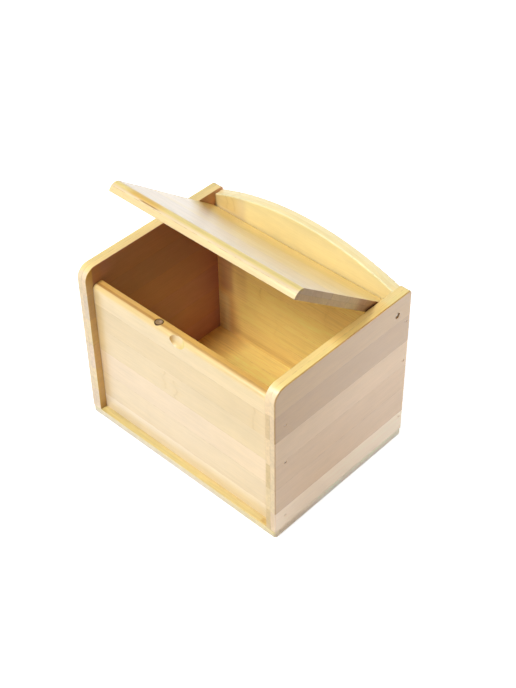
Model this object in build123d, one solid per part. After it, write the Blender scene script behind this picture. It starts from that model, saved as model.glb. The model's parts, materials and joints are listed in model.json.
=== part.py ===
from build123d import *
import math
import os

os.makedirs("parts", exist_ok=True)

# A bamboo salt box: two side boards stand on a bottom board and hold a front
# board, an arched back board and a lid that swings on two dowels.
# X runs left to right, Y from the front to the back and Z up from the table.
# The origin is under the middle of the box. The lid is drawn part open.

# Carcass
width = 161.0
depth = 118.5
side_top = 120.0
board = 7.5
bottom_board_thickness = 5.5
front_recess = 5.0
front_drop = 13.0
back_end_drop = 2.5
crown_rise = 11.0

# Shaping of the boards
side_front_radius = 8.5
side_rear_radius = 2.5
front_roundover = 3.5
plan_corner_radius = 2.0
ease = 0.8
fine_ease = 0.4

# Finger scoop in the top of the front board
scoop_width = 13.2
scoop_depth = 3.0
scoop_x = -1.0

# Lid
lid_side_gap = 0.6
lid_tail = 4.6
lid_tail_gap = 0.45
lid_setback = 0.2
lid_nose_radius = 5.5
lid_open_angle = 38.0

# Dowels that the lid swings on
hinge_drop = 12.1
dowel_diameter = 3.9
dowel_into_lid = 14.0
dowel_sunk = 0.8
dowel_chamfer = 0.5
dowel_glue_gap = 0.03
dowel_running_gap = 0.06
dowel_bore_spare = 0.6

# Magnets that hold the lid shut
magnet_diameter = 5.7
magnet_thickness = 3.0
magnet_setback = 4.1
magnet_x = -19.5
magnet_sunk = 0.1
magnet_gap = 0.05
magnet_edge_break = 0.3

# Brad nails, which are cut from flat wire and have a narrow head
nail_width = 1.05
nail_shank_breadth = 1.25
nail_head_breadth = 1.9
nail_head_thickness = 0.7
nail_length = 20.0
nail_point = 1.6
nail_sunk = 0.3
nail_gap = 0.03
front_nail_heights = (14.5, 60.0, 90.0)
back_nail_heights = (18.0, 66.0, 98.0)
side_bottom_nail_inset = 16.0
cross_bottom_nail_inset = 33.0
bottom_nails_per_board = 3

# Sizes that follow from the ones above
floor_z = bottom_board_thickness
inner_width = width - 2 * board
front_face_y = -depth / 2 + front_recess
front_top = side_top - front_drop
front_middle_y = front_face_y + board / 2
back_face_y = depth / 2 - board
back_middle_y = depth / 2 - board / 2
back_end_top = side_top - back_end_drop
crown_top = side_top + crown_rise
side_middle_x = width / 2 - board / 2
hinge_y = back_face_y - lid_tail_gap - lid_tail
hinge_z = side_top - hinge_drop
lid_width = inner_width - 2 * lid_side_gap
lid_reach = hinge_y - front_face_y - lid_setback
dowel_radius = dowel_diameter / 2


def lid_shut_angle():
    """Slope of the shut lid in degrees, where it rests on the back edge of the front board."""
    rest_y = hinge_y - (front_face_y + board)
    rest_z = hinge_z - front_top
    edge_distance = math.hypot(rest_y, rest_z)
    edge_angle = math.atan2(rest_z, rest_y)
    return math.degrees(math.asin(board / 2 / edge_distance) - edge_angle)


def lid_magnet_reach():
    """Distance from the hinge line to the lid's magnet, which meets the front one when shut."""
    slope = math.radians(lid_shut_angle())
    run = hinge_y - (front_face_y + magnet_setback)
    return (run - board / 2 * math.sin(slope)) / math.cos(slope)


def to_open_lid(shape):
    """Carry a shape drawn about the hinge line of a level lid to the part open lid."""
    return Location((0, hinge_y, hinge_z), (-lid_open_angle, 0, 0)) * shape


def edges_on(shape, axis, place, tolerance=1e-3):
    """The edges of a shape that lie in one plane square to an axis."""
    return shape.edges().filter_by_position(axis, place - tolerance, place + tolerance)


def nail_solid():
    """A brad with its head's top at the origin and its chisel point straight below."""
    half_head = nail_head_breadth / 2
    half_shank = nail_shank_breadth / 2
    profile = Polyline(
        (-half_head, 0),
        (half_head, 0),
        (half_head, -nail_head_thickness),
        (half_shank, -nail_head_thickness),
        (half_shank, -nail_length + nail_point),
        (0, -nail_length),
        (-half_shank, -nail_length + nail_point),
        (-half_shank, -nail_head_thickness),
        (-half_head, -nail_head_thickness),
        close=True,
    )
    return extrude(Plane.YZ * make_face(profile), amount=nail_width / 2, both=True)


def nail_hole():
    """The room that a nail and its punched recess take, with the recess's mouth at Z 0."""
    head_depth = nail_sunk + nail_head_thickness + nail_gap
    full_depth = nail_sunk + nail_length + nail_gap
    room_width = nail_width + 2 * nail_gap
    head_room = Box(room_width, nail_head_breadth + 2 * nail_gap, head_depth)
    shank_room = Box(room_width, nail_shank_breadth + 2 * nail_gap, full_depth)
    return Pos(0, 0, -head_depth / 2) * head_room + Pos(0, 0, -full_depth / 2) * shank_room


def side_nail_places(heights, y, side):
    """Where nails enter a side board's outer face, each pointing into the box."""
    turn = 90 * side
    return [Location((side * width / 2, y, z), (0, turn, 0)) for z in heights]


def bottom_nail_places():
    """Where nails enter the bottom board from below, each pointing up into a wall."""
    places = []
    for side in (-1, 1):
        for y in spread_evenly(depth / 2 - side_bottom_nail_inset):
            places.append((side * side_middle_x, y))
    for y in (front_middle_y, back_middle_y):
        for x in spread_evenly(inner_width / 2 - cross_bottom_nail_inset):
            places.append((x, y))
    return [Location((x, y, 0), (180, 0, 0)) for x, y in places]


def spread_evenly(reach):
    """Evenly spaced places for one board's bottom nails, from minus reach to reach."""
    step = 2 * reach / (bottom_nails_per_board - 1)
    return [-reach + step * i for i in range(bottom_nails_per_board)]


def all_nail_places():
    """Every place where a nail enters the box."""
    places = bottom_nail_places()
    for side in (-1, 1):
        places += side_nail_places(front_nail_heights, front_middle_y, side)
        places += side_nail_places(back_nail_heights, back_middle_y, side)
    return places


def near(place, box):
    """Whether a nail that enters at a place reaches into a bounding box."""
    tip = (place * Location((0, 0, -nail_length))).position
    head = place.position
    pairs = (
        (head.X, tip.X, box.min.X, box.max.X),
        (head.Y, tip.Y, box.min.Y, box.max.Y),
        (head.Z, tip.Z, box.min.Z, box.max.Z),
    )
    spare = nail_head_breadth
    return all(max(a, b) + spare > low and min(a, b) - spare < high for a, b, low, high in pairs)


def drill_for_nails(shape):
    """Cut the holes of the nails that reach a board."""
    box = shape.bounding_box()
    for place in all_nail_places():
        if near(place, box):
            shape = shape - place * nail_hole()
    return shape


def make_side(side):
    """A side board: rounded at its top corners and eased where hands meet it."""
    height = side_top - floor_z
    outline = Pos(0, floor_z + height / 2) * Rectangle(depth, height)
    corners = outline.vertices().group_by(Axis.Y)[-1].sort_by(Axis.X)
    outline = fillet(corners[0], side_front_radius)
    corners = outline.vertices().group_by(Axis.Y)[-1].sort_by(Axis.X)
    outline = fillet(corners[-1], side_rear_radius)
    inner = side * inner_width / 2
    outer = side * width / 2
    solid = extrude(Plane.YZ.offset(inner) * outline, amount=side * board)
    outer_edges = edges_on(solid, Axis.X, outer) - edges_on(solid, Axis.Z, floor_z)
    solid = fillet(outer_edges, ease)
    inner_edges = edges_on(solid, Axis.X, inner) - edges_on(solid, Axis.Z, floor_z)
    inner_edges = inner_edges - edges_on(solid, Axis.Y, depth / 2)
    solid = fillet(inner_edges, fine_ease)
    dowel_hole = Cylinder(dowel_radius + dowel_glue_gap, 3 * board)
    across = Location((side * side_middle_x, hinge_y, hinge_z), (0, 90, 0))
    return drill_for_nails(solid - across * dowel_hole)


def make_bottom():
    """The bottom board: it carries the walls and shows as a ledge in front of the front board."""
    plan = RectangleRounded(width, depth, plan_corner_radius)
    solid = extrude(plan, amount=bottom_board_thickness)
    solid = fillet(edges_on(solid, Axis.Z, 0), ease)
    return drill_for_nails(solid)


def scoop_cutter():
    """A ball that leaves the finger scoop, its middle level with the front board's top."""
    radius = (scoop_width**2 / 4 + scoop_depth**2) / (2 * scoop_depth)
    middle_y = front_face_y - radius + scoop_depth
    return Pos(scoop_x, middle_y, front_top) * Sphere(radius)


def magnet_pocket():
    """A blind pocket for a magnet, drilled down from the origin."""
    reach = magnet_sunk + magnet_thickness + magnet_gap
    return Pos(0, 0, -reach / 2) * Cylinder(magnet_diameter / 2 + magnet_gap, reach)


def magnet_solid():
    """A disc magnet with its face just below the origin."""
    disc = Pos(0, 0, -magnet_sunk - magnet_thickness / 2) * Cylinder(magnet_diameter / 2, magnet_thickness)
    return chamfer(disc.edges(), magnet_edge_break)


def make_front():
    """The front board: a rounded top edge with a finger scoop and a magnet pocket."""
    height = front_top - floor_z
    outline = Pos(front_middle_y, floor_z + height / 2) * Rectangle(board, height)
    corners = outline.vertices().group_by(Axis.Y)[-1].sort_by(Axis.X)
    outline = fillet(corners[0], front_roundover)
    corners = outline.vertices().group_by(Axis.Y)[-1].sort_by(Axis.X)
    outline = fillet(corners[-1], fine_ease)
    solid = extrude(Plane.YZ.offset(-inner_width / 2) * outline, amount=inner_width)
    solid = solid - scoop_cutter()
    solid = solid - Pos(magnet_x, front_face_y + magnet_setback, front_top) * magnet_pocket()
    return drill_for_nails(solid)


def make_back():
    """The back board: its top rises in one arch from side to side."""
    half = inner_width / 2
    outline = Polyline((-half, back_end_top), (-half, floor_z), (half, floor_z), (half, back_end_top))
    arch = ThreePointArc((half, back_end_top), (0, crown_top), (-half, back_end_top))
    face = make_face([*outline.edges(), arch])
    solid = extrude(Plane.XZ.offset(-depth / 2) * face, amount=board)
    solid = fillet(solid.edges().filter_by(GeomType.CIRCLE), ease)
    return drill_for_nails(solid)


def make_lid():
    """The lid: a bull nose in front and a round tail that turns clear of the back board."""
    half = board / 2
    nose_start = (-lid_reach + lid_nose_radius, half)
    nose_end = (-lid_reach, half - lid_nose_radius)
    tail_top = (lid_tail - half, half)
    tail_bottom = (lid_tail - half, -half)
    outline = make_face(
        [
            Line(tail_bottom, (-lid_reach, -half)),
            Line((-lid_reach, -half), nose_end),
            RadiusArc(nose_end, nose_start, lid_nose_radius),
            Line(nose_start, tail_top),
            ThreePointArc(tail_top, (lid_tail, 0), tail_bottom),
        ]
    )
    lower_front = outline.vertices().sort_by(Axis.Y)[:2].sort_by(Axis.X)[0]
    outline = fillet(lower_front, fine_ease)
    solid = extrude(Plane.YZ.offset(-lid_width / 2) * outline, amount=lid_width)
    end_edges = edges_on(solid, Axis.X, lid_width / 2) + edges_on(solid, Axis.X, -lid_width / 2)
    solid = fillet(end_edges, fine_ease)
    bore_depth = dowel_into_lid + dowel_bore_spare
    for side in (-1, 1):
        bore = Cylinder(dowel_radius + dowel_running_gap, bore_depth)
        middle_x = side * (lid_width / 2 - bore_depth / 2)
        solid = solid - Location((middle_x, 0, 0), (0, 90, 0)) * bore
    solid = solid - Location((magnet_x, -lid_magnet_reach(), -half), (180, 0, 0)) * magnet_pocket()
    return to_open_lid(solid)


def make_lid_magnet():
    """The magnet in the lid's underside."""
    place = Location((magnet_x, -lid_magnet_reach(), -board / 2), (180, 0, 0))
    return to_open_lid(place * magnet_solid())


def make_front_magnet():
    """The magnet in the front board's top edge."""
    return Pos(magnet_x, front_face_y + magnet_setback, front_top) * magnet_solid()


def make_dowel(side):
    """A dowel, glued in the side board, that the lid turns on."""
    length = board - dowel_sunk + lid_side_gap + dowel_into_lid
    middle_x = side * (width / 2 - dowel_sunk - length / 2)
    pin = Location((middle_x, hinge_y, hinge_z), (0, 90, 0)) * Cylinder(dowel_radius, length)
    return chamfer(pin.edges().filter_by(GeomType.CIRCLE), dowel_chamfer)


def make_nails(places):
    """A group of nails, one at each place, punched just below the surface."""
    return Compound(children=[place * Pos(0, 0, -nail_sunk) * nail_solid() for place in places])


def side_nails(heights, y):
    """The nails of both side boards into one cross board."""
    return make_nails(side_nail_places(heights, y, -1) + side_nail_places(heights, y, 1))


pieces = {
    "bottom_board": make_bottom(),
    "left_side": make_side(-1),
    "right_side": make_side(1),
    "front_board": make_front(),
    "back_board": make_back(),
    "lid": make_lid(),
    "hinge_dowel_left": make_dowel(-1),
    "hinge_dowel_right": make_dowel(1),
    "front_magnet": make_front_magnet(),
    "lid_magnet": make_lid_magnet(),
    "front_nails": side_nails(front_nail_heights, front_middle_y),
    "back_nails": side_nails(back_nail_heights, back_middle_y),
    "bottom_nails": make_nails(bottom_nail_places()),
}

for name, piece in pieces.items():
    export_step(piece, f"parts/{name}.step")

print("lid's slope when shut, degrees:", round(lid_shut_angle(), 3))
print("hinge line at y, z:", round(hinge_y, 3), round(hinge_z, 3))
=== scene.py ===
"""A bamboo salt box with its lid part open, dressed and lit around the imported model."""

import json
import math
from typing import NamedTuple

import bpy
from mathutils import Matrix, Vector

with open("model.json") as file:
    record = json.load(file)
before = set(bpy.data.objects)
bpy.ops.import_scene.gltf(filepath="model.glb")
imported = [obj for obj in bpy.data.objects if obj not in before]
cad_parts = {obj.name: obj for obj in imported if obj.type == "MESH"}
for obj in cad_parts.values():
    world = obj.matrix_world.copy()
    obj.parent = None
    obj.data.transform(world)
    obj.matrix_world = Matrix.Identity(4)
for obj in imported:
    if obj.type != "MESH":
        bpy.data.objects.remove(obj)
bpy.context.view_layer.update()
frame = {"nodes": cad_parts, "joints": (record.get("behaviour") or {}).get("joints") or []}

# Sizes are in metres, angles in degrees and colours linear.
# Places on a board are in millimetres, as its material reads them.
MM = 0.001

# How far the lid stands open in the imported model
LID_OPENED = 38.0

# The camera stands where the photograph's did
VIEW_AZIMUTH = 43.686
VIEW_ELEVATION = 42.331
VIEW_ROLL = -0.907
VIEW_DISTANCE = 0.8526
VIEW_TARGET_HEIGHT = 0.060
VIEW_RIGHT = 0.00867
VIEW_UP = 0.00564
LENS_MM = 72.14
SENSOR_MM = 36.0

# Soft boxes: where each stands, the width and height of its face, and its power in watts.
# All of them face the middle of the box.
SOFT_BOXES = {
    "key": ((-0.21, -0.81, 1.31), (0.20, 0.20), 12.2),
    "overhead": ((0.0, 0.25, 1.30), (0.60, 0.60), 5.2),
    "front": ((-0.20, -1.05, 1.05), (0.80, 0.50), 11.2),
    "right_low": ((0.42, 0.42, 0.05), (0.60, 0.10), 1.35),
}

# The world as the varnish mirrors it is darker higher up, and darkest on the right.
# A band is the range of a direction's share over which the level changes.
HORIZON_LEVEL = 0.88
ZENITH_LEVEL = 0.40
ZENITH_BAND = (0.15, 0.6)
RIGHT_LEVEL = 0.28
RIGHT_BAND = (0.2, 0.6)
RIGHT_RISE = (0.05, 0.25)

# The floor glows, and a level of 1 is white. It glows less near the box, where its shadow falls.
FLOOR_SIZE = 6.0
FLOOR_DROP = 0.0001
FLOOR_COLOR = (0.72, 0.72, 0.72)
FLOOR_LIFT = 0.75
FLOOR_FADE = (0.3, 1.0)

# Right of the box the varnish mirrors the floor from one level to the other, towards the rear
BESIDE_BOX = 0.08
RIGHT_SWEEP = (-0.14, -0.02)
FLOOR_LIFT_RIGHT = (0.50, 1.0)

# Varnished bamboo
BAMBOO = (0.88, 0.665, 0.255)
PALE_BAMBOO = (0.86, 0.70, 0.46)
BLUSH = (1.0, 0.90, 1.04)
BLUSH_SHARE = 0.5
FIBRE_DARK = (0.62, 0.40, 0.12)
KNUCKLE_DARK = (0.42, 0.24, 0.08)
SEAM_DARK = (0.45, 0.28, 0.12)
FACE_ROUGHNESS = 0.38
END_ROUGHNESS = 0.75
FACE_COAT = 1.0
END_COAT = 0.15
END_TINT = (0.80, 0.75, 0.69)
COAT_ROUGHNESS = 0.26
COAT_IOR = 1.6

# Tints of the inner faces. The left one stands in for the photograph's shade, which the lamps
# don't give. The photograph doesn't show the right one, which is darkened as painted shade to
# suit it.
LEFT_INNER_TINT = (0.52, 0.268, 0.47)
RIGHT_INNER_TINT = (0.80, 0.62, 0.60)

# Every strip has its own number, with a step for the low ply and one for each board. Two draws
# from that number shift the strip's grain along and through the board.
PLY_STEP = 20.0
BOARD_STEP = 50.0
SECOND_DRAW = 7.5
SHIFT_ALONG = 900.0
SHIFT_THROUGH = 300.0

# Noises drawn out along the grain: length and width in mm, detail and roughness
GRAINS = {
    "fine": (16.0, 0.45, 3.0, 0.62),
    "vein": (22.0, 1.1, 2.0, 0.55),
    "streak": (60.0, 3.0, 1.0, 0.5),
    "pores": (9.0, 0.35, 1.0, 0.4),
    "drift": (60.0, 26.0, 1.0, 0.5),
    "blotch": (14.0, 7.0, 2.0, 0.55),
    "wobble": (40.0, 6.0, 1.0, 0.5),
    "seam_break": (4.0, 12.0, 2.0, 0.5),
    "end_mottle": (3.5, 2.0, 4.0, 0.6),
    "birch_fibre": (12.0, 0.25, 3.0, 0.6),
    "birch_ring": (40.0, 1.4, 1.0, 0.5),
}

# The part of a noise's range that counts, and the levels at its two ends
NOISE_RANGE = (0.3, 0.7)
DRIFT_LEVELS = (0.97, 1.03)
BLOTCH_LEVELS = (0.975, 1.02)
FIBRE_BAND = (0.44, 0.72)
PORE_BAND = (0.60, 0.74)
BAND_IN_VEINS = (0.4, 0.65, 0.10, 0.35)
KNUCKLE_IN_BLOTCHES = (0.35, 0.6, 0.08, 0.40)
SEAM_IN_BREAKS = (0.42, 0.68, 0.08, 0.7)
END_IN_MOTTLE = (0.35, 0.65, 0.94, 1.05)

# Where the figure is 1: how much darker and lighter streaks and veins make the wood, and the
# share of the dark colour in fibres and pores
STREAK_DEPTHS = (0.04, 0.03)
VEIN_DEPTHS = (0.10, 0.08)
FIBRE_STRENGTH = 0.34
PORE_STRENGTH = 0.28

# Relief: the share of each in it, its strength, and its real height in metres
RELIEF_FINE = 0.6
RELIEF_VEIN = 0.5
RELIEF_SEAM = 0.5
BUMP_STRENGTH = 0.2
BUMP_HEIGHT = 0.00006

# How far, in mm, lines and bands reach to either side, and how far knuckles wobble in all
SEAM_REACH = 0.30
GLUE_REACH = 0.25
KNUCKLE_REACH = 1.3
KNUCKLE_BAND_REACH = 6.5
KNUCKLE_WOBBLE = 9.0
SEAM_BLUR = 0.1

# How directly a surface looks along the grain where end grain starts and is full
END_GRAIN = (0.55, 0.85)

# Shares of the figure and of the seams that are left past the calm limits and on end grain
CALM_FIGURE = 0.3
CALM_SEAMS = 0.15
END_FIGURE = 0.4

# Steel of the magnets and brads. Places and reaches on a magnet are in mm.
MAGNET_STEEL = (0.56, 0.42, 0.26)
# Painted shade round the front magnet's rim
MAGNET_RIM_SHADE = (0.13, 0.075, 0.04)
# A painted glint on the front magnet
MAGNET_GLINT = (0.80, 0.66, 0.60)
MAGNET_MIDDLE = (-19.5, -50.15)
# Radius where the painted shade round the front magnet's rim begins
MAGNET_SHADE_RADIUS = 2.4
MAGNET_ROUGHNESS = 0.36
MAGNET_SCUFF_MM = 0.6
RIM_INSIDE = 0.5
RIM_OUTSIDE = 0.1
RIM_DULLNESS = 0.4
# Where the front magnet's painted glint sits off its middle, how far it reaches, and its share
GLINT_OFFSET = (0.5, 0.8)
GLINT_REACH = (1.3, 0.3)
GLINT_SHARE = 0.7
BRAD_STEEL = (0.85, 0.72, 0.58)
BRAD_ROUGHNESS = 0.6
BRAD_SCUFF_MM = 0.4
SCUFF_NOISE = (4.0, 0.6)
SCUFF_BAND = (0.4, 0.7)
SCUFF_SHADE = 0.72
SCUFF_DULLNESS = 0.15

# Birch of the dowels
BIRCH_PALE = (0.95, 0.84, 0.70)
BIRCH_FIBRE = (0.80, 0.66, 0.50)
BIRCH_RING = (0.84, 0.70, 0.54)
BIRCH_FIBRE_BAND = (0.35, 0.7)
BIRCH_RING_BAND = (0.4, 0.6)
BIRCH_RING_SHARE = 0.4
BIRCH_BUMP = (0.4, 0.00005)
BIRCH_ROUGHNESS = 0.6


class Net:
    """Adds and links the nodes of one node tree."""

    def __init__(self, tree):
        self.tree = tree

    def node(self, kind, **settings):
        made = self.tree.nodes.new(kind)
        for name, value in settings.items():
            setattr(made, name, value)
        return made

    def feed(self, socket, value):
        """Link a socket's output to another, or set a plain value on it."""
        if isinstance(value, bpy.types.NodeSocket):
            self.tree.links.new(value, socket)
        else:
            socket.default_value = value

    def math(self, operation, *values, clamp=False):
        made = self.node("ShaderNodeMath", operation=operation, use_clamp=clamp)
        for socket, value in zip(made.inputs, values):
            self.feed(socket, value)
        return made.outputs[0]

    def vector(self, operation, *values):
        made = self.node("ShaderNodeVectorMath", operation=operation)
        for socket, value in zip(made.inputs, values):
            self.feed(socket, value)
        out = "Value" if operation in ("DOT_PRODUCT", "LENGTH") else "Vector"
        return made.outputs[out]

    def combine(self, x, y, z):
        made = self.node("ShaderNodeCombineXYZ")
        for socket, value in zip(made.inputs, (x, y, z)):
            self.feed(socket, value)
        return made.outputs[0]

    def separate(self, vector):
        made = self.node("ShaderNodeSeparateXYZ")
        self.feed(made.inputs[0], vector)
        return made.outputs

    def mix(self, factor, low, high, blend="MIX"):
        made = self.node("ShaderNodeMix", data_type="RGBA", blend_type=blend)
        self.feed(made.inputs["Factor"], factor)
        self.feed(made.inputs[6], low if isinstance(low, bpy.types.NodeSocket) else (*low, 1))
        self.feed(made.inputs[7], high if isinstance(high, bpy.types.NodeSocket) else (*high, 1))
        return made.outputs[2]

    def ramp(self, value, low, high, out_low=0.0, out_high=1.0):
        """Carry a value smoothly from one range to another."""
        made = self.node("ShaderNodeMapRange", interpolation_type="SMOOTHSTEP")
        for socket, item in zip(made.inputs, (value, low, high, out_low, out_high)):
            self.feed(socket, item)
        return made.outputs[0]

    def noise(self, vector, detail, roughness):
        made = self.node("ShaderNodeTexNoise")
        made.inputs["Scale"].default_value = 1.0
        made.inputs["Detail"].default_value = detail
        made.inputs["Roughness"].default_value = roughness
        self.feed(made.inputs["Vector"], vector)
        return made.outputs["Fac"]

    def white(self, value):
        """A random number from 0 to 1 for each whole value."""
        made = self.node("ShaderNodeTexWhiteNoise", noise_dimensions="1D")
        self.feed(made.inputs["W"], value)
        return made.outputs["Value"]

    def near(self, value, place, reach):
        """1 at a place, falling smoothly to 0 at a reach from it."""
        distance = self.math("ABSOLUTE", self.math("SUBTRACT", value, place))
        return self.ramp(distance, 0.0, reach, 1.0, 0.0)

    def grain(self, along, across, through, kind):
        """One of the noises in GRAINS, drawn out along the first of three places in mm."""
        length, width, detail, roughness = GRAINS[kind]
        squeezed = self.combine(
            self.math("DIVIDE", along, length),
            self.math("DIVIDE", across, width),
            self.math("DIVIDE", through, width),
        )
        return self.noise(squeezed, detail, roughness)

    def bump(self, height, strength, distance):
        """A normal with relief on it, from a height of 0 to 1 and its real distance."""
        made = self.node("ShaderNodeBump")
        made.inputs["Strength"].default_value = strength
        made.inputs["Distance"].default_value = distance
        self.feed(made.inputs["Height"], height)
        return made.outputs[0]

    def within(self, measures, limits, most):
        """The most where a point is past all limits, falling smoothly to 0 before any of them."""
        share = most
        for way, start, stop in limits:
            share = self.math("MULTIPLY", self.ramp(measures[way], start, stop), share)
        return share


def new_material(name):
    made = bpy.data.materials.new(name)
    made.use_nodes = True
    made.node_tree.nodes.clear()
    return made, Net(made.node_tree)


def finish_surface(net, color, normal=None, **settings):
    """Close a material with one surface shader."""
    shader = net.node("ShaderNodeBsdfPrincipled")
    net.feed(shader.inputs["Base Color"], color)
    for name, value in settings.items():
        net.feed(shader.inputs[name], value)
    if normal is not None:
        net.feed(shader.inputs["Normal"], normal)
        net.feed(shader.inputs["Coat Normal"], normal)
    out = net.node("ShaderNodeOutputMaterial")
    net.feed(out.inputs["Surface"], shader.outputs[0])


def board_places(net, grain, stack, turn):
    """How far a point lies along the grain, across the strips and through the board, in mm."""
    place = net.vector("SCALE", net.node("ShaderNodeTexCoord").outputs["Object"])
    place.node.inputs["Scale"].default_value = 1 / MM
    if turn is not None:
        joint, degrees = turn
        turned = net.node("ShaderNodeVectorRotate", rotation_type="X_AXIS")
        net.feed(turned.inputs["Vector"], place)
        turned.inputs["Center"].default_value = Vector(joint["pos_m"]) / MM
        turned.inputs["Angle"].default_value = math.radians(degrees)
        place = turned.outputs[0]
    axes = dict(zip("XYZ", net.separate(place)))
    through = ({"X", "Y", "Z"} - {grain, stack}).pop()
    return axes[grain], axes[stack], axes[through]


class Ply(NamedTuple):
    """One layer of strips: the seams between them, and each strip's tone and paleness."""

    seams: tuple
    tones: tuple
    pales: tuple


def read_ply(net, ply, across):
    """The tone, paleness and number of the strip at a point, and the seams as dark lines."""
    tone = ply.tones[0]
    pale = ply.pales[0]
    number = 0.0
    line = 0.0
    for index, seam in enumerate(ply.seams):
        past = net.math("GREATER_THAN", across, seam)
        tone = net.math("MULTIPLY_ADD", past, ply.tones[index + 1] - ply.tones[index], tone)
        pale = net.math("MULTIPLY_ADD", past, ply.pales[index + 1] - ply.pales[index], pale)
        number = net.math("ADD", number, past)
        line = net.math("MAXIMUM", line, net.near(across, seam, SEAM_REACH))
    return tone, pale, number, line


def draw_knuckles(net, knuckles, wobbly, across):
    """Lines where the cane had its joints, and the darker bands round them."""
    lines = 0.0
    bands = 0.0
    for place, low, high, strength in knuckles:
        above = net.math("GREATER_THAN", across, low)
        below = net.math("LESS_THAN", across, high)
        window = net.math("MULTIPLY", net.math("MULTIPLY", above, below), strength)
        line = net.math("MULTIPLY", net.near(wobbly, place, KNUCKLE_REACH), window)
        band = net.math("MULTIPLY", net.near(wobbly, place, KNUCKLE_BAND_REACH), window)
        lines = net.math("MAXIMUM", lines, line)
        bands = net.math("MAXIMUM", bands, band)
    return lines, bands


def bamboo(
    name, grain, stack, split, high, low, seed,
    turn=None, knuckles=(), figure=1.0, calm=None, tints=(), dull=None, end=END_TINT,
):
    """Two plies of bamboo strips glued edge to edge under satin varnish.

    The strips run along the grain axis and lie beside each other along the stack axis. The plies
    high and low meet at the split. Each tint multiplies the colour where a point is past all
    of its limits: places along the grain, across the strips or through the board, and how
    far the surface looks along the grain (lean) or across the strips (edge). Dull takes away
    a share of the varnish within limits of the same kind.

    Tints under a comment that names the photograph's light, or painted light or shade, stand in
    for light, shade or reflections, which the lamps here don't give, and aren't the wood's own
    colour. The others were read as wood or as marks on it. One photograph can't prove either
    reading.
    """
    material, net = new_material(name)
    along, across, through = board_places(net, grain, stack, turn)

    # Strips and plies
    is_low = net.math("LESS_THAN", through, split)
    in_high = read_ply(net, high, across)
    in_low = read_ply(net, low, across)
    tone, pale, number, seam = (
        net.math("MULTIPLY_ADD", is_low, net.math("SUBTRACT", under, over), over)
        for over, under in zip(in_high, in_low)
    )
    number = net.math("ADD", number, seed * BOARD_STEP)
    number = net.math("MULTIPLY_ADD", is_low, PLY_STEP, number)
    luck = net.white(number)
    other_luck = net.white(net.math("ADD", number, SECOND_DRAW))
    own_along = net.math("MULTIPLY_ADD", luck, SHIFT_ALONG, along)
    own_through = net.math("MULTIPLY_ADD", other_luck, SHIFT_THROUGH, through)

    # The figure is as strong as asked, and weaker past the calm limits and on end grain.
    # Seams are weaker past the calm limits too.
    facing = net.separate(net.node("ShaderNodeTexCoord").outputs["Normal"])
    lean = facing["XYZ".index(grain)]
    edge = net.math("ABSOLUTE", facing["XYZ".index(stack)])
    is_end = net.ramp(net.math("ABSOLUTE", lean), *END_GRAIN)
    line = net.math("MAXIMUM", seam, net.near(through, split, GLUE_REACH))
    if calm is not None:
        figure = net.ramp(across, *calm, figure, CALM_FIGURE * figure)
        line = net.math("MULTIPLY", line, net.ramp(across, *calm, 1.0, CALM_SEAMS))
    figure = net.math("MULTIPLY", figure, net.ramp(is_end, 0.0, 1.0, 1.0, END_FIGURE))

    # Fibres at four scales, the drift of colour along a strip, blotches, and the knuckles' wobble
    kinds = ("fine", "vein", "streak", "pores", "drift", "blotch", "wobble")
    fine, vein, streak, pores, drift, blotch, wobble = (
        net.grain(own_along, across, own_through, kind) for kind in kinds
    )

    # Brightness and base colour
    bright = net.math("MULTIPLY", tone, net.ramp(drift, *NOISE_RANGE, *DRIFT_LEVELS))
    bright = net.math("MULTIPLY", bright, net.ramp(blotch, *NOISE_RANGE, *BLOTCH_LEVELS))
    for grain_line, (darker, lighter) in ((streak, STREAK_DEPTHS), (vein, VEIN_DEPTHS)):
        least = net.math("MULTIPLY_ADD", figure, -darker, 1.0)
        most = net.math("MULTIPLY_ADD", figure, lighter, 1.0)
        bright = net.math("MULTIPLY", bright, net.ramp(grain_line, *NOISE_RANGE, least, most))
    base = net.vector("SCALE", net.mix(pale, BAMBOO, PALE_BAMBOO))
    net.feed(base.node.inputs["Scale"], bright)
    color = net.mix(net.math("MULTIPLY", luck, BLUSH_SHARE), base, BLUSH, "MULTIPLY")

    # Dark fibres and pores, knuckles and their bands, seams, and then the tints
    dark_lines = ((fine, FIBRE_BAND, FIBRE_STRENGTH), (pores, PORE_BAND, PORE_STRENGTH))
    for grain_line, shown, strength in dark_lines:
        share = net.math("MULTIPLY", net.ramp(grain_line, *shown), strength)
        color = net.mix(net.math("MULTIPLY", share, figure, clamp=True), color, FIBRE_DARK)
    sideways = net.math("SUBTRACT", wobble, 0.5)
    wobbly = net.math("MULTIPLY_ADD", sideways, KNUCKLE_WOBBLE, along)
    knuckle, band = draw_knuckles(net, knuckles, wobbly, across)
    band = net.math("MULTIPLY", band, net.ramp(vein, *BAND_IN_VEINS))
    knuckle = net.math("MULTIPLY", knuckle, net.ramp(blotch, *KNUCKLE_IN_BLOTCHES))
    color = net.mix(band, color, FIBRE_DARK)
    color = net.mix(knuckle, color, KNUCKLE_DARK)
    unbroken = net.ramp(net.grain(along, across, through, "seam_break"), *SEAM_IN_BREAKS)
    color = net.mix(net.math("MULTIPLY", line, unbroken), color, SEAM_DARK)
    measures = {"along": along, "across": across, "through": through, "lean": lean, "edge": edge}
    for tint, *limits in tints:
        color = net.mix(net.within(measures, limits, 1.0), color, tint, "MULTIPLY")

    # End grain is darker and duller, because it drinks more varnish. The colour is held at 1.
    mottle = net.grain(own_through, across, through, "end_mottle")
    end_color = net.vector("SCALE", end)
    net.feed(end_color.node.inputs["Scale"], net.ramp(mottle, *END_IN_MOTTLE))
    color = net.mix(is_end, color, end_color, "MULTIPLY")
    color.node.clamp_result = True

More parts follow.
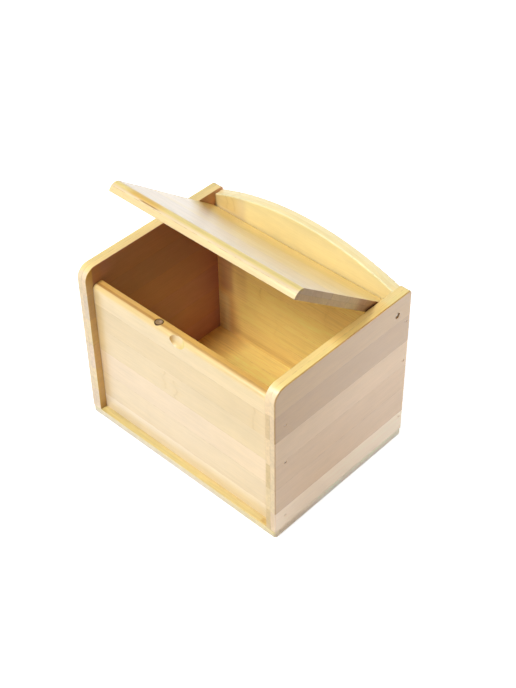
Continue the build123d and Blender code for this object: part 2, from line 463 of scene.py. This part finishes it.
    # Relief and gloss
    relief_fine = net.math("MULTIPLY", fine, RELIEF_FINE)
    relief = net.math("ADD", relief_fine, net.math("MULTIPLY", vein, RELIEF_VEIN))
    relief = net.math("SUBTRACT", relief, net.math("MULTIPLY", seam, RELIEF_SEAM))
    coat = net.ramp(is_end, 0.0, 1.0, FACE_COAT, END_COAT)
    if dull is not None:
        most_dull, *limits = dull
        kept = net.math("SUBTRACT", 1.0, net.within(measures, limits, most_dull))
        coat = net.math("MULTIPLY", coat, kept)
    settings = {
        "Roughness": net.ramp(is_end, 0.0, 1.0, FACE_ROUGHNESS, END_ROUGHNESS),
        "Coat Weight": coat,
        "Coat Roughness": COAT_ROUGHNESS,
        "Coat IOR": COAT_IOR,
    }
    finish_surface(net, color, net.bump(relief, BUMP_STRENGTH, BUMP_HEIGHT), **settings)
    return material


def metal(name, color, roughness, scuff_mm, disc=None):
    """Scuffed steel. A disc's middle and radius add a painted shaded rim and a painted glint."""
    material, net = new_material(name)
    place = net.vector("SCALE", net.node("ShaderNodeTexCoord").outputs["Object"])
    place.node.inputs["Scale"].default_value = 1 / (MM * scuff_mm)
    scuff = net.noise(place, *SCUFF_NOISE)
    scuffed = tuple(channel * SCUFF_SHADE for channel in color)
    shade = net.mix(net.ramp(scuff, *SCUFF_BAND), color, scuffed)
    dullness = net.ramp(scuff, *NOISE_RANGE, roughness, roughness + SCUFF_DULLNESS)
    if disc is not None:
        (middle_x, middle_y), shade_radius = disc
        x, y, _ = net.separate(net.node("ShaderNodeTexCoord").outputs["Object"])
        x = net.math("SUBTRACT", net.math("DIVIDE", x, MM), middle_x)
        y = net.math("SUBTRACT", net.math("DIVIDE", y, MM), middle_y)
        from_middle = net.vector("LENGTH", net.combine(x, y, 0.0))
        # Painted shade round the rim, which is duller there too
        rim = net.ramp(from_middle, shade_radius - RIM_INSIDE, shade_radius + RIM_OUTSIDE)
        # A painted glint, off the middle
        offset_x, offset_y = GLINT_OFFSET
        x = net.math("SUBTRACT", x, offset_x)
        y = net.math("SUBTRACT", y, offset_y)
        glint = net.ramp(net.vector("LENGTH", net.combine(x, y, 0.0)), *GLINT_REACH)
        shade = net.mix(net.math("MULTIPLY", glint, GLINT_SHARE), shade, MAGNET_GLINT)
        shade = net.mix(rim, shade, MAGNET_RIM_SHADE)
        dullness = net.math("MULTIPLY_ADD", rim, RIM_DULLNESS, dullness)
    finish_surface(net, shade, None, **{"Metallic": 1.0, "Roughness": dullness})
    return material


def dowel_wood():
    """Birch dowel along the hinge line."""
    material, net = new_material("dowel_wood")
    place = net.separate(net.node("ShaderNodeTexCoord").outputs["Object"])
    places = [net.math("DIVIDE", value, MM) for value in place]
    fibre = net.grain(*places, "birch_fibre")
    ring = net.ramp(net.grain(*places, "birch_ring"), *BIRCH_RING_BAND)
    color = net.mix(net.ramp(fibre, *BIRCH_FIBRE_BAND), BIRCH_PALE, BIRCH_FIBRE)
    color = net.mix(net.math("MULTIPLY", ring, BIRCH_RING_SHARE), color, BIRCH_RING)
    finish_surface(net, color, net.bump(fibre, *BIRCH_BUMP), **{"Roughness": BIRCH_ROUGHNESS})
    return material


def dress(node, material):
    """Give a CAD node its finish."""
    slots = frame["nodes"][node].data.materials
    slots.clear()
    slots.append(material)


def between(low, high):
    """Limits that keep a tint between two seams, or on one side of one."""
    limits = []
    if low is not None:
        limits.append(("across", low - SEAM_BLUR, low + SEAM_BLUR))
    if high is not None:
        limits.append(("across", high + SEAM_BLUR, high - SEAM_BLUR))
    return limits


# The seams in the sides' outer and inner plies, and the limit past which their tops lie
SIDE_SEAMS = (21.5, 42.0, 61.5, 81.0, 101.5)
SIDE_INNER_SEAMS = (22.5, 41.0, 61.0, 82.0, 101.0)
SIDE_TOP = ("across", 118.6, 119.6)


def dress_right_side():
    """Right side, whose strips run from front to back."""
    outer_face = ("through", 79.7, 80.2)
    strip_tints = (
        ((1.50, 1.88, 2.50), None, SIDE_SEAMS[0]),
        ((1.00, 0.985, 0.94), SIDE_SEAMS[1], SIDE_SEAMS[2]),
        ((1.08, 1.12, 1.10), SIDE_SEAMS[2], SIDE_SEAMS[3]),
        ((0.75, 0.67, 0.38), SIDE_SEAMS[3], SIDE_SEAMS[4]),
        ((0.79, 0.73, 0.46), SIDE_SEAMS[4], None),
    )
    right = bamboo(
        "bamboo_right_side", "Y", "Z", 76.7,
        high=Ply(
            SIDE_SEAMS,
            (0.96, 0.95, 0.95, 0.95, 0.92, 1.02),
            (0.6, 0.55, 0.55, 0.55, 0.5, 0.5),
        ),
        low=Ply(
            SIDE_INNER_SEAMS,
            (0.83, 0.97, 0.80, 0.98, 0.83, 1.03),
            (0.15, 0.4, 0.15, 0.4, 0.2, 0.4),
        ),
        seed=1, figure=0.32, end=(0.95, 0.97, 1.13),
        tints=(
            # The top's two plies, its outer arris, and on a stretch of its rear half painted shade
            # where the lid's shadow falls
            ((1.02, 1.04, 0.76), SIDE_TOP, ("through", 76.5, 76.9)),
            ((1.02, 1.04, 0.80), SIDE_TOP, ("through", 76.9, 76.5)),
            ((0.92, 0.82, 0.28), ("across", 119.0, 119.4), ("through", 79.7, 80.1)),
            ((1.06, 0.94, 0.73), SIDE_TOP, ("along", -12.0, 0.0), ("along", 42.0, 36.0)),
            # The photograph's light: the outer face as a whole
            ((0.82, 0.64, 0.54), outer_face),
            # Its strips. The lowest one's paleness is partly its own tone and partly painted light
            # from the table.
            *((tint, outer_face, *between(low, high)) for tint, low, high in strip_tints),
            # The inner face, which the photograph doesn't show: painted shade to suit the left one
            (RIGHT_INNER_TINT, ("through", 73.3, 73.05)),
        ),
    )
    dress("right_side", right)


def dress_left_side():
    """Left side, whose strips run from front to back."""
    inner_face = ("through", -73.3, -73.05)
    before_front_board = ("along", -53.0, -54.6)
    left = bamboo(
        "bamboo_left_side", "Y", "Z", -76.7,
        high=Ply(
            SIDE_INNER_SEAMS,
            (0.98, 1.0, 0.96, 0.99, 0.88, 0.95),
            (0.3, 0.1, 0.3, 0.1, 0.3, 0.1),
        ),
        low=Ply(
            SIDE_SEAMS,
            (0.94, 1.0, 0.95, 0.98, 0.93, 0.89),
            (0.3, 0.2, 0.3, 0.1, 0.2, 0.1),
        ),
        seed=2, figure=0.4, end=(0.93, 0.99, 1.52),
        dull=(0.6, inner_face, ("along", -54.0, -50.0)),
        tints=(
            # The top
            ((1.01, 1.03, 0.98), SIDE_TOP),
            # The photograph's light: the inner face
            (LEFT_INNER_TINT, inner_face),
            # The outer face, which the photograph doesn't show
            ((0.93, 0.84, 0.82), ("through", -79.7, -80.2)),
            # The photograph's light: the inner face's front end and its upper rear corner
            ((1.00, 0.95, 0.50), inner_face, ("along", -44.0, -50.0)),
            ((1.62, 2.50, 1.20), inner_face, before_front_board),
            ((0.88, 0.80, 0.70), inner_face, before_front_board, ("across", 55.0, 90.0)),
            ((0.70, 0.62, 0.55), inner_face, before_front_board, ("across", 15.0, 7.0)),
            ((1.40, 1.70, 0.95), inner_face, ("across", 108.0, 112.0), ("along", 30.0, 40.0)),
        ),
    )
    dress("left_side", left)


def dress_front_board():
    """Front board, whose strips run from left to right."""
    seams = (17.0, 37.0, 56.0, 75.0, 93.0)
    top = ("edge", 0.95, 0.995)
    upright = ("edge", 0.3, 0.1)
    front = bamboo(
        "bamboo_front_board", "X", "Z", -50.1,
        high=Ply(seams, (1.0,) * 6, (0.0,) * 6),
        low=Ply(seams, (0.96, 0.84, 0.87, 0.79, 0.77, 0.85), (0.9, 0.55, 0.6, 0.3, 0.2, 0.35)),
        seed=3, figure=0.32,
        knuckles=(
            (-14.0, 59.0, 74.0, 0.55), (-5.0, 56.0, 71.0, 0.6),
            (60.0, 75.0, 93.0, 0.65), (-31.0, 17.0, 37.0, 0.15),
        ),
        tints=(
            # The roundover and the top
            ((0.99, 0.95, 0.78), ("edge", 0.3, 0.7), ("edge", 0.99, 0.95)),
            ((0.78, 0.61, 0.38), top),
            ((0.85, 0.74, 0.58), top, ("through", -49.4, -49.8), ("along", 0.0, -25.0)),
            # Painted shade at the top's left end, below the left side
            ((0.90, 0.88, 0.92), top, ("along", -58.0, -68.0)),
            # The upright face: its right half, and the left half of its lowest strip
            ((1.0, 0.985, 0.91), upright, ("along", 0.0, 50.0)),
            ((1.0, 1.02, 1.10), upright, ("along", 15.0, -10.0), ("across", 17.1, 16.9)),
            # The photograph's light: the two sides of the finger scoop
            ((0.62, 0.40, 0.06), ("lean", 0.2, 0.7)),
            ((0.90, 0.92, 0.45), ("lean", -0.05, -0.5)),
        ),
    )
    dress("front_board", front)


def dress_back_board():
    """Back board, whose strips run from left to right under the arch."""
    front_face = ("through", 52.9, 52.6)
    flat_face = ("through", 52.2, 51.9)
    back = bamboo(
        "bamboo_back_board", "X", "Z", 55.5,
        high=Ply(
            (19.0, 38.5, 58.0, 78.0, 97.0, 113.5),
            (1.0, 0.96, 1.0, 0.95, 1.0, 0.97, 1.0),
            (0.2,) * 7,
        ),
        low=Ply((22.0, 41.5, 61.0, 80.0, 99.0), (1.0, 0.97, 1.02, 0.96, 1.0, 0.98), (0.0,) * 6),
        seed=4, figure=0.85, calm=(98.0, 106.0),
        dull=(1.0, ("edge", 0.15, 0.3), ("edge", 0.94, 0.9), ("across", 108.0, 110.0)),
        knuckles=(
            (-63.0, 111.0, 121.0, 0.45), (-56.5, 112.0, 124.0, 0.4), (-34.0, 51.0, 61.0, 0.6),
            (22.0, 61.0, 80.0, 0.3), (-20.0, 22.0, 41.5, 0.3),
        ),
        tints=(
            # The photograph's light: the inner face, the arch, its rim, and its right half's arris
            ((1.17, 1.15, 0.90), front_face),
            ((0.80, 0.99, 1.70), front_face, ("across", 99.0, 105.0)),
            (
                (1.06, 1.20, 1.48), ("edge", 0.88, 0.93), ("through", 52.4, 52.6),
                ("across", 99.0, 105.0),
            ),
            ((0.77, 0.74, 0.68), ("edge", 0.3, 0.5), ("edge", 0.93, 0.88), ("lean", 0.02, 0.10)),
            # The photograph's light: the left end inside the box
            ((0.83, 0.72, 0.78), flat_face, ("along", -50.0, -62.0), ("across", 55.0, 30.0)),
            ((1.18, 1.60, 2.00), flat_face, ("along", -60.5, -67.0), ("across", 42.0, 32.0)),
            (
                (0.70, 0.62, 0.72), flat_face, ("along", -57.0, -62.0), ("along", -76.0, -67.0),
                ("across", 38.0, 46.0), ("across", 90.0, 70.0),
            ),
            ((0.90, 0.86, 0.93), flat_face, ("along", -44.0, -50.0), ("across", 36.0, 46.0)),
            # The photograph's light: the band above the bottom board
            (
                (0.80, 0.76, 0.74), flat_face, ("along", -66.0, -56.0),
                ("across", 7.0, 9.0), ("across", 14.0, 11.0),
            ),
            # The photograph's light: the left end below the hinge and at the foot of the arch
            ((1.0, 0.985, 0.88), flat_face, ("along", -50.0, -58.0), ("across", 110.0, 112.0)),
            ((0.89, 0.77, 0.82), flat_face, ("along", -56.0, -68.0), ("across", 105.0, 95.0)),
            ((0.97, 0.93, 0.80), flat_face, ("along", -48.0, -60.0), ("across", 106.0, 112.0)),
        ),
    )
    dress("back_board", back)


def dress_bottom_board():
    """Bottom board, whose strips run from left to right."""
    upper_face = ("through", 5.2, 5.4)
    ledge = ("across", -53.6, -54.2)
    front_or_rear = ("edge", 0.6, 0.85)
    right_end = ("lean", 0.5, 0.8)
    bottom = bamboo(
        "bamboo_bottom_board", "X", "Y", 2.8,
        high=Ply(
            (-55.3, -41.0, -21.0, -1.0, 19.0, 39.0),
            (1.0, 1.0, 0.96, 1.0, 0.95, 1.0, 0.97),
            (0.0,) * 7,
        ),
        low=Ply((-39.0, -19.0, 1.0, 21.0, 41.0), (0.96, 0.94, 1.0, 0.95, 1.0, 0.97), (0.5,) * 6),
        seed=5, figure=0.85, end=(1.0, 1.05, 1.42), knuckles=((69.0, -58.6, -54.4, 0.9),),
        tints=(
            # The photograph's light: the upper face, and its left end inside the box
            ((1.20, 1.20, 0.93), upper_face, ("along", 80.0, 79.0)),
            ((0.79, 0.66, 0.60), upper_face, ("along", -40.0, -54.0), ("across", -48.0, -46.0)),
            # The ledge and the board's front edge
            ((0.71, 0.73, 0.95), ledge),
            ((0.94, 0.96, 0.94), ledge, ("along", 30.0, -10.0)),
            ((1.12, 1.19, 1.25), front_or_rear),
            ((0.98, 0.95, 0.66), front_or_rear, ("along", 10.0, 60.0)),
            ((1.37, 1.33, 1.02), right_end, ledge),
            # The knuckle's mark on the ledge
            (
                (0.88, 0.76, 0.50), upper_face, ("along", 66.5, 68.0),
                ("across", -58.6, -57.8), ("across", -55.0, -55.8),
            ),
            # The photograph's light: the right end, brighter towards the rear
            ((1.28, 1.38, 1.58), right_end, ("across", -60.0, -10.0)),
            # The right end's high ply
            ((0.99, 1.01, 1.28), ("lean", 0.3, 0.6), ("through", 2.6, 3.0)),
        ),
    )
    dress("bottom_board", bottom)


def dress_lid(hinge):
    """Lid, whose strips run from left to right. Its places are those of the lid when level."""
    upper_face = ("through", 111.2, 111.5)
    right_end = ("lean", 0.5, 0.8)
    lid = bamboo(
        "bamboo_lid", "X", "Y", 107.9,
        high=Ply(
            (-39.0, -19.0, 0.5, 20.0, 39.5),
            (0.96, 0.95, 1.03, 1.04, 1.0, 0.97),
            (0.65, 0.55, 0.35, 0.15, 0.0, 0.0),
        ),
        low=Ply(
            (-41.0, -21.0, -1.5, 18.0, 37.5),
            (1.0, 1.0, 0.96, 1.0, 0.98, 1.0),
            (0.2, 0.1, 0.1, 0.1, 0.1, 0.1),
        ),
        seed=6, turn=(hinge, LID_OPENED), figure=0.5, end=(0.62, 0.53, 0.48),
        tints=(
            # The photograph's light: the top
            ((1.0, 0.97, 0.97), upper_face),
            ((1.0, 1.02, 1.14), upper_face, ("across", -12.0, -22.0)),
            ((1.01, 0.96, 0.66), upper_face, ("across", 12.0, 28.0)),
            (
                (1.0, 1.03, 1.30), upper_face, ("along", -20.0, -60.0),
                ("across", 16.0, 6.0), ("across", -18.0, -6.0),
            ),
            # The nose, its upper edge as painted shade, and a patch and a streak in its left half
            ((0.86, 0.855, 0.89), ("across", -50.5, -52.0)),
            ((1.02, 1.02, 0.62), ("across", -49.0, -50.5), ("through", 108.8, 110.2)),
            (
                (0.93, 0.75, 0.44), ("across", -49.5, -50.5), ("through", 108.6, 109.6),
                ("along", -64.0, -54.0), ("along", -26.0, -40.0),
            ),
            (
                (0.52, 0.38, 0.17), ("across", -50.5, -51.5), ("through", 108.2, 108.6),
                ("through", 109.3, 108.9), ("along", -51.0, -46.0), ("along", -31.0, -38.0),
            ),
            # The photograph's light: the right end
            ((0.70, 0.55, 0.48), right_end, ("across", 7.0, 16.0)),
            ((1.35, 1.25, 1.35), right_end, ("across", 22.0, 29.0)),
            ((0.93, 0.90, 0.94), right_end, ("across", -26.0, -38.0)),
        ),
    )
    dress("lid", lid)


def dress_fittings():
    """Dowels, magnets and brads."""
    birch = dowel_wood()
    brad = metal("brad_steel", BRAD_STEEL, BRAD_ROUGHNESS, BRAD_SCUFF_MM)
    plating = (MAGNET_STEEL, MAGNET_ROUGHNESS, MAGNET_SCUFF_MM)
    for node in ("hinge_dowel_left", "hinge_dowel_right"):
        dress(node, birch)
    # The front magnet's middle and the radius where its painted rim shade begins
    painted_disc = (MAGNET_MIDDLE, MAGNET_SHADE_RADIUS)
    dress("front_magnet", metal("front_magnet_plating", *plating, painted_disc))
    dress("lid_magnet", metal("lid_magnet_plating", *plating))
    for node in ("front_nails", "back_nails", "bottom_nails"):
        dress(node, brad)


def show(net, seen, mirrored):
    """One level for rays from the camera, another for those mirrored or passed on, 0 for light."""
    path = net.node("ShaderNodeLightPath").outputs
    passed_on = net.math("MAXIMUM", path["Is Glossy Ray"], path["Is Transmission Ray"])
    share = net.math("MULTIPLY", passed_on, mirrored)
    return net.math("MULTIPLY_ADD", path["Is Camera Ray"], seen, share)


def floor_lift(net):
    """How strongly the floor glows: white far off, and with its own levels in the varnish."""
    place = net.node("ShaderNodeTexCoord").outputs["Object"]
    seen = net.ramp(net.vector("LENGTH", place), *FLOOR_FADE, FLOOR_LIFT, 1.0)
    right, rear, _ = net.separate(place)
    beside = net.math("GREATER_THAN", right, BESIDE_BOX)
    right_level = net.ramp(net.math("SUBTRACT", rear, right), *RIGHT_SWEEP, *FLOOR_LIFT_RIGHT)
    more = net.math("SUBTRACT", right_level, FLOOR_LIFT)
    return show(net, seen, net.math("MULTIPLY_ADD", beside, more, FLOOR_LIFT))


def lay_floor():
    """A plain white floor that keeps the object's shadow."""
    half = FLOOR_SIZE / 2
    mesh = bpy.data.meshes.new("floor")
    signs = ((-1, -1), (1, -1), (1, 1), (-1, 1))
    corners = [(x * half, y * half, -FLOOR_DROP) for x, y in signs]
    mesh.from_pydata(corners, [], [(0, 1, 2, 3)])
    floor = bpy.data.objects.new("floor", mesh)
    bpy.context.scene.collection.objects.link(floor)
    material, net = new_material("floor_white")
    matt = net.node("ShaderNodeBsdfDiffuse")
    matt.inputs["Color"].default_value = (*FLOOR_COLOR, 1)
    lift = net.node("ShaderNodeEmission")
    net.feed(lift.inputs["Strength"], floor_lift(net))
    both = net.node("ShaderNodeAddShader")
    net.feed(both.inputs[0], matt.outputs[0])
    net.feed(both.inputs[1], lift.outputs[0])
    out = net.node("ShaderNodeOutputMaterial")
    net.feed(out.inputs["Surface"], both.outputs[0])
    mesh.materials.append(material)


def light_world():
    """A white background that gives no light of its own, which the varnish mirrors darker."""
    world = bpy.data.worlds.new("studio")
    bpy.context.scene.world = world
    world.use_nodes = True
    world.node_tree.nodes.clear()
    net = Net(world.node_tree)
    right, _, up = net.separate(net.node("ShaderNodeTexCoord").outputs["Generated"])
    shown = net.ramp(up, *ZENITH_BAND, HORIZON_LEVEL, ZENITH_LEVEL)
    is_right = net.math("MULTIPLY", net.ramp(right, *RIGHT_BAND), net.ramp(up, *RIGHT_RISE))
    shown = net.math("MULTIPLY_ADD", is_right, net.math("SUBTRACT", RIGHT_LEVEL, shown), shown)
    background = net.node("ShaderNodeBackground")
    background.inputs["Color"].default_value = (1, 1, 1, 1)
    net.feed(background.inputs["Strength"], show(net, 1.0, shown))
    out = net.node("ShaderNodeOutputWorld")
    net.feed(out.inputs["Surface"], background.outputs[0])


def hang_soft_boxes():
    """Rectangular lamps, each turned to the middle of the box."""
    middle = Vector((0, 0, VIEW_TARGET_HEIGHT))
    for name, (place, (width, height), power) in SOFT_BOXES.items():
        lamp = bpy.data.lights.new(name, "AREA")
        lamp.shape = "RECTANGLE"
        lamp.size = width
        lamp.size_y = height
        lamp.energy = power
        box = bpy.data.objects.new(name, lamp)
        box.location = place
        box.rotation_euler = (Vector(place) - middle).to_track_quat("Z", "Y").to_euler()
        bpy.context.scene.collection.objects.link(box)


def set_camera():
    """The photograph's viewpoint."""
    angles = (VIEW_AZIMUTH, VIEW_ELEVATION, VIEW_ROLL)
    azimuth, elevation, roll = (math.radians(angle) for angle in angles)
    back = Vector(
        (
            math.sin(azimuth) * math.cos(elevation),
            -math.cos(azimuth) * math.cos(elevation),
            math.sin(elevation),
        )
    )
    level_right = Vector((0, 0, 1)).cross(back).normalized()
    level_up = back.cross(level_right)
    right = math.cos(roll) * level_right + math.sin(roll) * level_up
    up = math.cos(roll) * level_up - math.sin(roll) * level_right
    target = Vector((0, 0, VIEW_TARGET_HEIGHT))
    place = target + back * VIEW_DISTANCE + right * VIEW_RIGHT + up * VIEW_UP
    lens = bpy.data.cameras.new("camera")
    lens.lens = LENS_MM
    lens.sensor_fit = "VERTICAL"
    lens.sensor_height = SENSOR_MM
    camera = bpy.data.objects.new("camera", lens)
    turn = Matrix((right, up, back)).transposed().to_4x4()
    camera.matrix_world = Matrix.Translation(place) @ turn
    bpy.context.scene.collection.objects.link(camera)
    bpy.context.scene.camera = camera


hinge = next(joint for joint in frame["joints"] if joint["name"] == "lid_hinge")
dress_right_side()
dress_left_side()
dress_front_board()
dress_back_board()
dress_bottom_board()
dress_lid(hinge)
dress_fittings()
lay_floor()
light_world()
hang_soft_boxes()
set_camera()
bpy.context.scene.view_settings.view_transform = "Standard"
